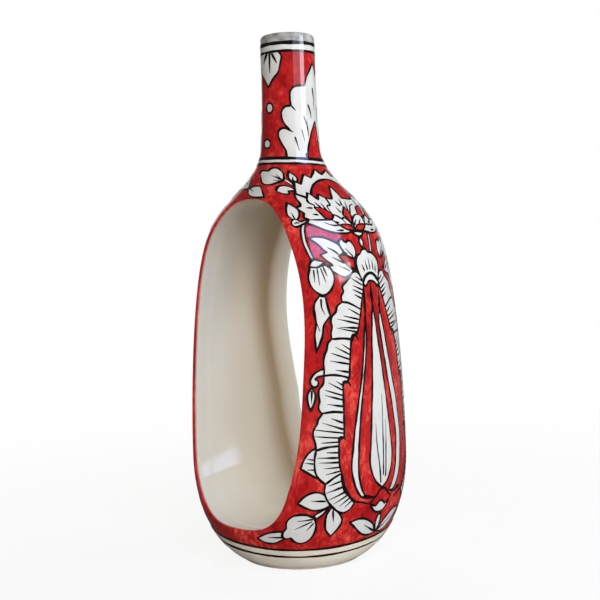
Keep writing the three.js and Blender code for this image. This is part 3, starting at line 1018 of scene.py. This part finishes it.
stroke([(-11.9, 153), (-11.2, 161), (-10, 169.4)], 1, 1.6)
stroke([(-5.1, 159), (-5, 164), (-4.7, 170.2)], 1, 2.0)
stroke([(0.8, 155.5), (1.8, 162), (2.2, 169.8)], 1, 1.6)

# Behind the fringe
pair(
    [(-57.3, 71.3, S), (-55.6, 75.5), (-52.4, 79.8), (-48.4, 81.8), (-46, 78), (-46, 70), (-48.4, 66.2),
     (-53, 68.6)],
    0, strokes=[[(-49.2, 75.6), (-53.6, 76.6)], [(-49.4, 73.6), (-55, 74.4)], [(-49.4, 70.4), (-54, 70.6)]],
)
pair(
    [(-41, 124.6), (-44.5, 123.6), (-47.6, 121.6), (-49.3, 118.6), (-48.8, 116), (-46.9, 115),
     (-45.1, 116.4), (-45.2, 118.6), (-46.6, 119.3), (-45, 120.6), (-41, 121.6)],
    0,
)
pair(
    [(-48.8, 115, S), (-51.2, 111.6), (-51.6, 107.4), (-50.4, 102.3, S), (-47.8, 107), (-47.1, 111)],
    0, strokes=[[(-48.8, 113.4), (-49.6, 106.4)]],
)

# Hanging buds with their stems and leaves
pair(
    [(-38, 205.2, S), (-40.4, 201.8), (-41.8, 197.6), (-42.2, 193.4), (-41.6, 189), (-40.2, 184, S),
     (-38.4, 184, S), (-39.4, 189), (-40, 193.4), (-39.7, 197.4), (-38.6, 200.8), (-36.8, 204, S)],
    1, width=1.0,
)
pair(
    [(-41.9, 179.8, S), (-43.7, 174.4), (-43, 169.6), (-40.2, 166), (-36.9, 164.4), (-33.3, 166),
     (-30.2, 170), (-29, 174.6), (-30.2, 178.7), (-32.8, 181, S), (-37, 180.2)],
    strokes=[[(-40, 178.6), (-40.6, 171.4)], [(-38, 179.2), (-38.2, 170)], [(-36, 179.4), (-34.4, 171.2)],
             [(-34.5, 180), (-33, 174.6)]],
)
pair(
    [(-42.2, 180.2, S), (-40.6, 183), (-38.4, 184.2), (-35.8, 183.4), (-32.6, 182.4, S), (-37.6, 179.8)],
    2,
)
pair(
    [(-39.2, 164.2, S), (-42.4, 160.4), (-43.5, 155), (-43, 149.6), (-44.4, 143.4), (-44.6, 133.8, S),
     (-42, 138.6), (-40.2, 142.6), (-38.8, 148.2), (-34.6, 153.2, S), (-35.4, 158.6), (-36, 163.8, S)],
    0,
    strokes=[[(-38.6, 162.6), (-38.8, 157.6), (-37.4, 153.6)],
             [(-42.9, 156.6), (-42.8, 150.6), (-41.4, 145)]],
)
pair(
    [(-38.5, 196.2, S), (-34.6, 196.9), (-30.1, 196.4), (-26.5, 194.9), (-22.8, 192.6), (-20.4, 188.6),
     (-20.7, 187.1, S), (-23.7, 185.6, S), (-21, 182), (-18, 179.3), (-16, 177, S), (-18.4, 175.2),
     (-21.9, 173.8), (-26.5, 175.5), (-30.5, 178.2), (-32.2, 180.2, S), (-28.6, 180.6, S), (-32.4, 184.1),
     (-34.5, 186.6, S), (-30.2, 188, S), (-31.9, 189.1), (-34.2, 192.3)],
    0,
    strokes=[[(-21.2, 181.4), (-24.8, 183.4), (-28, 185.2)], [(-23.6, 186.4), (-26, 188.6), (-29.4, 190.6)],
             [(-18.2, 177), (-21, 178.4), (-25.4, 180.2)]],
    apart=LEAF_APART,
)
pair(
    [(-21.6, 193.6), (-19.2, 195.6, S), (-18.3, 194), (-16.9, 192.9, S), (-15.8, 194), (-13.7, 193.7),
     (-12.4, 191.4), (-11.7, 188.4), (-12.2, 185.8), (-13.7, 184, S), (-16.5, 184.8), (-19.2, 186.6),
     (-20.2, 188.4), (-21.4, 190.6)],
    1, strokes=[[(-14.4, 185), (-16.4, 187.2), (-18.8, 190)], [(-18, 186.4), (-20.6, 188.6)]],
    apart=LEAF_APART,
)
pair(
    [(-23.7, 185.4, S), (-22.1, 186.3), (-14.2, 183.8, S), (-14.4, 177.5, S), (-18, 179.4), (-21, 182)],
    1, "red", apart=LEAF_APART,
)

# Cap over the pod, drop and stem
shape(
    [(-10.6, 170.8, S), (-13.1, 177.4), (-13.3, 181), (-12.6, 183.4), (-11, 185.6), (-9, 186.2, S),
     (-7.4, 188.1), (-5.1, 189.2), (-3.2, 188.6), (-1.9, 186.9, S), (0.2, 187), (2.4, 186), (4.5, 184.1),
     (6, 181.2), (5.6, 178.4), (3.4, 170.8, S), (1.5, 173.3), (-1.5, 175.1), (-5.1, 175.4), (-8.5, 173.7)],
    2, width=1.3,
    strokes=[[(-7.8, 176.4), (-9.2, 180.4)], [(-5.2, 177), (-6.2, 182.6)], [(-3, 177.2), (-3, 184)],
             [(-0.4, 176.8), (0.4, 182.6)], [(1.6, 175.8), (2.8, 180.2)]],
)
shape(
    [(-10.6, 169.6, S), (-8.5, 173), (-5.1, 174.8), (-1.5, 174.4), (3.2, 169.6, S), (1.8, 167.6),
     (-0.2, 169.6), (-2.8, 170.8), (-6, 170.7), (-8.8, 168.2)],
    3, width=1.3,
)
shape([(2.5, 198, S), (4.4, 197.6, S), (1.9, 187, S), (0.1, 187.4, S)], 1, width=1.0)
shape([(-5.2, 196.2, S), (-7.2, 193.4), (-5.6, 190), (-3.8, 193)], 1)

# Lotus: serrated crown, red dome and rings of petals
shape(
    [(-29.8, 226.4, S), (-26.8, 231.6), (-23.8, 236.6, S), (-21.9, 233.8, S), (-15.4, 241.6, S),
     (-12.7, 238.8, S), (-6.2, 245.4, S), (-3.5, 241.5, S), (3.1, 245, S), (5.8, 240.8, S),
     (11.4, 240.8, S), (13.2, 236.4, S), (18, 234.6, S), (22.8, 226.4, S), (14, 222), (-21, 222)],
    0, width=1.5,
)
shape(
    [(-21.6, 224.6, S), (-19.2, 228.4), (-15.4, 232.6), (-10, 236), (-3.8, 237.6), (2.4, 236.8), (8, 233.6),
     (12, 229.6), (14.6, 224.6, S), (4, 216), (-11, 216)],
    1, "red", 1.4,
)
LOTUS_LEFT = [
    (-11, 221.4, S), (-12.8, 221.9), (-14.6, 222.6), (-17.3, 225.6, S), (-18.6, 223.6), (-20, 221.2, S),
    (-21.2, 224.2), (-22.8, 226.8, S), (-24.4, 224.2), (-26, 222, S), (-28.2, 224.2), (-30.6, 225.8, S),
    (-31.8, 222.3), (-31.9, 219), (-33, 216.9), (-35.6, 215.9, S), (-34.9, 213.4), (-33.6, 211.6, S),
    (-34.8, 210.2), (-35.4, 208.5, S), (-33.6, 207.6), (-35.6, 205.2, S), (-33, 204), (-30.1, 202.4),
    (-25.5, 200), (-20.5, 198.6), (-14.2, 198.4), (-10.2, 199.2),
]
TALL_PETAL = [(-3, 222.4, S), (-2.9, 225), (-3.6, 228.6), (-4.4, 232.4, S), (-7.1, 228.2), (-9.2, 224.4)]
shape(TALL_PETAL + LOTUS_LEFT + mirrored(LOTUS_LEFT)[::-1], 2, width=1.3)
for edge in (
    [(-26, 222), (-26.9, 219.2), (-24.9, 216.8), (-26.4, 215)],
    [(-14.6, 222.4), (-14.8, 219.2), (-15.3, 216.9), (-17.4, 216.6), (-17.9, 214), (-17.5, 210.4)],
    [(-20, 206.9), (-26, 207), (-33.6, 207.2)],
):
    stroke(edge, 2, 1.2, both=True)
for vein in (
    [(-21.8, 214.8), (-22.6, 217), (-23.4, 219.4)],
    [(-19.8, 213.2), (-20, 216), (-20.3, 218.6)],
    [(-11.2, 211.4), (-12.5, 215.8)],
    [(-27, 215.1), (-30.6, 215.3)],
    [(-26.4, 210.3), (-29.6, 210.9)],
    [(-17, 203.3), (-21.6, 203.5), (-25.6, 205.4)],
    [(-15.6, 200.2), (-20.4, 200.2)],
):
    stroke(vein, 2, 1.15, both=True)
for vein in (
    [(-8.4, 216.2), (-9.8, 220)],
    [(-7, 216.6), (-5.4, 222)],
    [(-4.8, 212.4), (-3.6, 216.6), (-2.2, 219.8)],
    [(-4.9, 210.4), (-2.6, 213.6), (-0.1, 216.6), (3.6, 217.6)],
):
    stroke(vein, 2, 1.1)
pair(
    [(-20, 206.8, S), (-18.8, 208.2), (-16.9, 210.2, S), (-14.8, 208.8), (-13.4, 207, S), (-11.5, 208.4, S),
     (-9.6, 206.4), (-7.8, 203.2, S), (-12.4, 203.8), (-17, 203.4, S)],
    3, width=1.1, strokes=[[(-11.6, 204.6), (-13.5, 207.2)], [(-16.2, 204.8), (-18.8, 205.8)]],
)
pair(
    [(-25.8, 214.7, S), (-24.8, 215.7, S), (-21.9, 214.8), (-19.8, 213.2), (-17.7, 210.6, S),
     (-19.6, 207.4, S), (-23.2, 207.6), (-24.6, 211)],
    3, "red", 1.1,
)
shape(
    [(-6.2, 216, S), (-4.9, 210), (-7.3, 204.2, S), (-8.6, 207), (-10.9, 210, S), (-8.4, 213.4)],
    3, "red", 1.1,
)
shape(
    [(2, 208.6, S), (2.6, 212.4), (4.6, 215.4), (9.2, 216.4, S), (8.6, 212), (6.4, 208.6, S)],
    3, "red", 1.1,
)
shape(
    [(-17, 203.5, S), (-12.6, 203.9), (-9, 202.7), (-7.2, 200.6, S), (-10.2, 200), (-14.2, 201.2)],
    4, "red", 1.1,
)
shape(
    [(-7.2, 201.4, S), (-6, 205.9), (-3.7, 208.5), (0, 210.2), (3.2, 209.6), (4.4, 206.6), (3.8, 203.2, S),
     (-2, 201.4)],
    4, width=1.1, strokes=[[(-6.2, 203), (-4.4, 205.2), (-2.2, 207)], [(-1.4, 204.4), (1.6, 207)]],
)
shape([(-7.2, 200.3, S), (-4.5, 202.9), (0, 203.8), (4, 203.3, S), (1.2, 201), (-2, 199.7)], 5, "red", 1.1)
shape(
    [(-10.4, 198.9, S), (-6, 199.3), (-1.6, 198.5, S), (-3.4, 196.8), (-5.6, 196.2), (-8, 197)],
    5, width=1.2,
)

# Buds and leaves round the lotus
pair(
    [(-38.5, 219.9, S), (-42, 214.6), (-43.4, 210.6), (-41.4, 206.6, S), (-38.3, 208.8), (-35.8, 214)],
    1, strokes=[[(-40.8, 207.4), (-40.4, 212.6)]],
)
pair(
    [(-33.2, 207.2, S), (-36, 207), (-38.6, 206.2), (-39.8, 207.6), (-41.8, 207.7), (-43.6, 206),
     (-43.9, 204.2), (-42.6, 203.1), (-40.4, 203.5), (-38.4, 204.4), (-36, 205.4)],
    2, width=1.1, strokes=[[(-39.6, 205.4), (-41, 205.6), (-42.6, 204.9)]],
)
shape(
    [(-42.6, 234.9), (-43.2, 237.6), (-41.9, 240.6, S), (-41.6, 243.6), (-38.5, 245.7), (-34.6, 244.9, S),
     (-31.6, 246.6), (-28, 246.8), (-26.1, 244), (-27.3, 240.2), (-29.6, 237.1, S), (-34.6, 235.5),
     (-39, 234.4)],
    strokes=[[(-30, 237.2), (-34.2, 241.9)], [(-30, 237.6), (-30.7, 242.4)],
             [(-30.4, 236.8), (-35.2, 237.7)], [(-30, 237.4), (-32.2, 241.2)]],
)
shape([(-29, 238), (-27.4, 238.4), (-26, 234.6), (-26.6, 232.4), (-28, 234.4)], 0, width=1.0)
pair(
    [(-22.3, 244.4, S), (-25.2, 239.8), (-25.4, 235.4, S), (-21.9, 236.6), (-20.7, 239.4)],
    0, strokes=[[(-24.6, 236.4), (-22.4, 240)]],
)
pair(
    [(-38.9, 229.2, S), (-35.6, 232.3), (-31.6, 233), (-28.6, 231.2), (-28.2, 228.6, S), (-32.2, 228.2),
     (-33, 226.4), (-36.2, 226.5)],
    1, strokes=[[(-28.6, 227.6), (-32.4, 229.4)]],
)
shape(
    over_window([(-7.9, 231.7, S), (-4.2, 233.8), (0.8, 233.3), (4.4, 229.4), (7.9, 224.6, S), (0, 225.2),
                 (-5, 227.8)]),
    1, strokes=[over_window([(-7, 232.6), (-4.6, 231), (-1.8, 229.4)])],
)
shape(
    over_window([(-8.2, 232.4, S), (-10.8, 237.8), (-13.3, 242), (-17, 244.6), (-21.4, 242.6), (-25.4, 238),
                 (-24.8, 233.4), (-16, 232)]),
    0, strokes=[over_window([(-13, 236.6), (-20, 238.4)])],
)

# Neck: petals under the lip, dots, and a tall lobed leaf with a red flame
shape(
    [(-37.6, 314.8, S), (-37.9, 308), (-36.6, 304.4), (-33.4, 302.2), (-30, 298.2), (-27.3, 294.4, S),
     (-24.3, 298.2), (-20.3, 302.4), (-18.8, 307.2), (-18, 311.6), (-20, 314.8, S)],
)
for vein in (
    [(-27.6, 314), (-31.4, 308.2)],
    [(-25.6, 314.4), (-25.8, 302.6)],
    [(-24.2, 313.8), (-20.8, 307.6)],
):
    stroke(vein, 1, 1.7)
for s, v, width, height in ((-27.2, 282.6, 2.6, 2.9), (-30.9, 262.2, 2.9, 2.6)):
    angles = np.radians(np.arange(0, 360, 45))
    shape([(s + width * math.cos(a), v + height * math.sin(a)) for a in angles], width=1.1)
shape(
    [(-19.4, 252.5, S), (-18.9, 257.4), (-21.2, 262.8), (-22.2, 266.4), (-21.4, 269.4), (-18.4, 270.6),
     (-15.2, 269, S), (-18.2, 273.2), (-19.4, 276.6), (-19.2, 279.8), (-17.2, 282.6), (-13.6, 283.2, S),
     (-14, 287), (-13.6, 291), (-11.6, 293.8), (-8.6, 294.6), (-5, 294.6, S), (-3, 299.8), (0.2, 304.8),
     (2.8, 308, S), (5.4, 303.6), (7, 298.6), (8.4, 293.8, S), (10.6, 292.2), (11.6, 288), (10.4, 283.6, S),
     (12.6, 282), (13.8, 278.6), (12.4, 273), (10.6, 270.4, S), (13.4, 268.8), (14.6, 264.6), (13, 259),
     (13.6, 252.5, S)],
    1,
    strokes=[[(-12.6, 265.3), (-10.9, 257.2)], [(-8, 269.4), (-6.8, 262)], [(-7.2, 256), (-7.7, 252.8)],
             [(-6.3, 277.3), (-4.4, 271), (-3.8, 266)], [(-3, 284), (-1.4, 280), (-0.9, 276)],
             [(1.6, 294), (2.4, 288), (2.6, 281)], [(8.4, 284), (6.2, 279), (5.4, 275)],
             [(10, 272), (8, 267), (7.4, 262)], [(-15.2, 269), (-13.4, 268)],
             [(-13.6, 283.2), (-11, 280.2)], [(10.4, 283.6), (8.6, 281.4)]],
)
shape(
    [(2.8, 274.6, S), (-0.1, 270.6), (-2.6, 265.6), (-4.7, 259.8), (-7, 252.5, S), (6.4, 252.5, S),
     (5.6, 259), (4.6, 265.8)],
    1, "red",
)

paint_sides("spray", lambda v: v < NECK_START)
paint_sides("neck", lambda v: v >= NECK_START)

# Painted rings round the foot, the root of the neck and the lip
VIEW_TURN = math.radians(38)  # where the camera stands
FOOT_DIP = 4.0  # how much higher the foot rings run at either edge of the view
NECK_TILT = {"tilt": 1.1, "tilt_turn": math.radians(-40)}
SWELL_TURN = math.radians(-20)
BAND_DEPTH, LINE_DEPTH = 2.2, 2.8
RING_ROWS = 5
RING_WAVES = (5, 11)  # how often the two wavers of a ring come round


def ring(name, low, high, depth, colour, tilt=0.0, tilt_turn=0.0, dip=0.0, waver=0.0, swell=0.0):
    """A band between two rises up the profile, a little crooked as a hand paints it."""
    shift = tilt * np.cos(TURN_ANGLES - tilt_turn) + dip * np.sin(TURN_ANGLES - VIEW_TURN) ** 2
    slow, fast = (waves * TURN_ANGLES for waves in RING_WAVES)
    wave = waver * (np.sin(slow + low) + np.sin(fast + high)) + swell * np.cos(TURN_ANGLES - SWELL_TURN)
    shares = np.linspace(0, 1, RING_ROWS)[:, None]
    rises = low + shift - wave + shares * (high - low + 2 * wave)
    sheet = band_sheet(height_at(rises), FIRST_LIFT + depth * LAYER_LIFT)
    add_piece(name, *sheet, PAINT_DEPTH, *PAINTS[colour])


ring("foot_band", 10.5, 21.6, BAND_DEPTH, "cream", dip=FOOT_DIP)
ring("foot_line_upper", 20.9, 22.3, LINE_DEPTH, "black", dip=FOOT_DIP, waver=0.10)
ring("foot_line_lower", 15.1, 16.6, LINE_DEPTH, "black", dip=FOOT_DIP, waver=0.14, swell=0.3)
ring("neck_root_band", 249.4, 252.4, BAND_DEPTH, "white", **NECK_TILT)
ring("neck_root_line_upper", 251.6, 253.5, LINE_DEPTH, "black", waver=0.08, **NECK_TILT)
ring("neck_root_line_lower", 248.6, 250.0, LINE_DEPTH, "black", waver=0.08, **NECK_TILT)
ring("lip_band", 314.2, 319.2, BAND_DEPTH, "white")
ring("lip_line_lower", 313.7, 315.1, LINE_DEPTH, "black", waver=0.08)
ring("lip_line_upper", 317.9, 320.0, LINE_DEPTH, "black", waver=0.1)

# Studio: pale floor, soft window light, camera at the photograph's angle
CAMERA_DISTANCE, CAMERA_HEIGHT = 0.631, 0.1893
CAMERA_PITCH, CAMERA_YAW, CAMERA_ROLL = 0.06, 0.0047, 0.03
CAMERA_LENS, CAMERA_SENSOR = 63.92, 36.0
WHITE = (1.0, 1.0, 1.0)
ROOM_LIGHT = (0.03, 0.028, 0.025)
ROOM_MIRRORED = (0.08, 0.08, 0.08)
BACKDROP_LIGHT = (0.02, 0.018, 0.015)
BACKDROP_EDGE = (0.80, 0.99)  # cosines of the angles off the line of sight at which it ends and is full
FLOOR_REACH = 6.0
FLOOR_TONES = [(0.3, (0.80, 0.80, 0.80)), (0.7, (0.82, 0.82, 0.82))]
FLOOR_CLOUD, FLOOR_DETAIL = 900.0, 2.0
FLOOR_ROUGHNESS = 0.9
FLOOR_FADE = (0.10, 0.60)  # distances from the pot between which the two below change
FLOOR_GLOW = (0.88, 1.0)
FLOOR_MIRRORED = (0.06, 0.20)
LAMP_DISTANCE = 1.5
DAYLIGHT = (0.80, 0.89, 1.0)
SKYLIGHT = (0.43, 0.53, 1.0)
LIT_LAMPS = [  # name, turn, lower and upper end, width, radiance, colour
    ("sky_light", 58, (1.3, 2.3), 0.8, 9.6, (0.70, 0.80, 1.0)),
    ("room_light", 38, (0.5, 1.2), 0.8, 8.0, (1.0, 0.88, 0.74)),
    ("low_light", 75, (0.0, 0.5), 0.8, 5.0, (0.70, 0.88, 1.0)),
    ("side_light", 98, (0.1, 0.9), 0.25, 10.0, (0.84, 0.94, 1.0)),
    ("back_light", 140, (1.3, 2.3), 0.8, 8.6, (1.0, 0.97, 0.88)),
    ("far_light", 230, (1.1, 2.1), 0.8, 8.0, (1.0, 0.96, 0.90)),
]
MIRRORED_LAMPS = [
    ("window", 84, (0.85, 2.25), 1.35, 6.6, SKYLIGHT),
    ("window_low", 84, (0.52, 0.85), 1.35, 2.4, DAYLIGHT),
    ("window_foot", 100, (0.49, 0.62), 0.5, 8.5, DAYLIGHT),
]
TUNNEL_LAMP = ("window_behind", 150, (0.04, 0.25), 0.30, 3.4, (0.48, 0.64, 1.0))


def round_pot(turn, distance, height):
    """A place in the studio; turn is the angle from -Y towards +X."""
    return Vector((distance * math.sin(turn), -distance * math.cos(turn), height))


def make_camera():
    data = bpy.data.cameras.new("camera")
    data.lens = CAMERA_LENS
    data.sensor_width = CAMERA_SENSOR
    camera = add_object("camera", data)
    camera.matrix_world = (
        Matrix.Translation(round_pot(VIEW_TURN, CAMERA_DISTANCE, CAMERA_HEIGHT))
        @ Matrix.Rotation(VIEW_TURN - CAMERA_YAW, 4, "Z")
        @ Matrix.Rotation(math.pi / 2 - CAMERA_PITCH, 4, "X")
        @ Matrix.Rotation(-CAMERA_ROLL, 4, "Z")
    )
    bpy.context.scene.camera = camera


def add_lamp(name, turn, heights, width, radiance, colour, mirrored_only=False, seen_in=None):
    """An upright rectangular lamp that faces the pot, as bright to look at as its radiance."""
    tall = heights[1] - heights[0]
    angle = math.radians(turn)
    data = bpy.data.lights.new(name, "AREA")
    data.shape = "RECTANGLE"
    data.size = width
    data.size_y = tall
    data.energy = radiance * math.pi * width * tall
    data.color = colour
    lamp = add_object(name, data)
    lamp.location = round_pot(angle, LAMP_DISTANCE, sum(heights) / 2)
    lamp.rotation_euler = (math.pi / 2, 0, angle)
    lamp.visible_glossy = mirrored_only
    lamp.visible_diffuse = not mirrored_only
    lamp.visible_camera = False
    if seen_in:
        receivers = bpy.data.collections.new(name)
        receivers.objects.link(bpy.data.objects[seen_in])
        lamp.light_linking.receiver_collection = receivers


def backdrop_share(tree):
    """1 in directions that lead to the backdrop behind the pot, and 0 in those to the room before it."""
    direction = tree.nodes.new("ShaderNodeTexCoord").outputs["Generated"]
    behind = add_node(tree, "ShaderNodeVectorMath", Vector=direction)
    behind.operation = "DOT_PRODUCT"
    behind.inputs[1].default_value = round_pot(VIEW_TURN, -1, 0)
    return rescale(tree, behind.outputs["Value"], BACKDROP_EDGE, (0, 1))


def look_shares(tree):
    """1 for rays of the camera, a reflection or a see-through part, and 1 for the camera's alone."""
    path = tree.nodes.new("ShaderNodeLightPath")
    camera = path.outputs["Is Camera Ray"]
    share = camera
    for name in ("Is Glossy Ray", "Is Transmission Ray"):
        share = arithmetic(tree, "MAXIMUM", share, path.outputs[name])
    return share, camera


def make_world():
    """A white backdrop to look at, and in reflections a dark room before it, both with little light."""
    world = bpy.data.worlds.new("studio")
    world.use_nodes = True
    tree = world.node_tree
    share, camera = look_shares(tree)
    behind = backdrop_share(tree)
    mirrored_room = mix(tree, behind, ROOM_MIRRORED, WHITE)
    light = mix(tree, behind, ROOM_LIGHT, BACKDROP_LIGHT)
    looked_at = mix(tree, camera, mirrored_room, WHITE)
    connect(tree, tree.nodes["Background"].inputs["Color"], mix(tree, share, light, looked_at))
    bpy.context.scene.world = world


def make_floor_material():
    """Pale and matt; it glows where it is looked at, less so near the pot, which keeps its shadow."""
    material, tree, shader = new_material("floor_white")
    shader.inputs["Roughness"].default_value = FLOOR_ROUGHNESS
    shader.inputs["Specular IOR Level"].default_value = 0.0
    pale = ramp(tree, noise(tree, FLOOR_CLOUD, FLOOR_DETAIL), FLOOR_TONES)
    connect(tree, shader.inputs["Base Color"], pale)
    place = tree.nodes.new("ShaderNodeTexCoord").outputs["Object"]
    away = add_node(tree, "ShaderNodeVectorMath", Vector=place)
    away.operation = "LENGTH"
    reflected, seen = (
        rescale(tree, away.outputs["Value"], FLOOR_FADE, ends, smooth=True)
        for ends in (FLOOR_MIRRORED, FLOOR_GLOW)
    )
    looked_at, camera = look_shares(tree)
    strength = add_node(tree, "ShaderNodeMix", Factor=camera, A=reflected, B=1.0)
    shown = add_node(tree, "ShaderNodeMix", Factor=camera, A=1.0, B=seen)
    glow = add_node(tree, "ShaderNodeEmission", Color=(*WHITE, 1), Strength=strength.outputs["Result"])
    share = arithmetic(tree, "MULTIPLY", looked_at, shown.outputs["Result"])
    blend = tree.nodes.new("ShaderNodeMixShader")
    for socket, value in zip(blend.inputs, (share, shader.outputs[0], glow.outputs[0])):
        connect(tree, socket, value)
    connect(tree, tree.nodes["Material Output"].inputs["Surface"], blend.outputs[0])
    return material


def make_floor():
    mesh = bpy.data.meshes.new("floor")
    corners = [(-1, -1, 0), (1, -1, 0), (1, 1, 0), (-1, 1, 0)]
    mesh.from_pydata([[FLOOR_REACH * c for c in corner] for corner in corners], [], [(0, 1, 2, 3)])
    mesh.materials.append(make_floor_material())
    floor = add_object("floor", mesh)


make_camera()
make_world()
make_floor()
for lamp in LIT_LAMPS:
    add_lamp(*lamp)
for lamp in MIRRORED_LAMPS:
    add_lamp(*lamp, mirrored_only=True)
add_lamp(*TUNNEL_LAMP, mirrored_only=True, seen_in="tunnel_lining")

bpy.context.scene.view_settings.view_transform = "Standard"
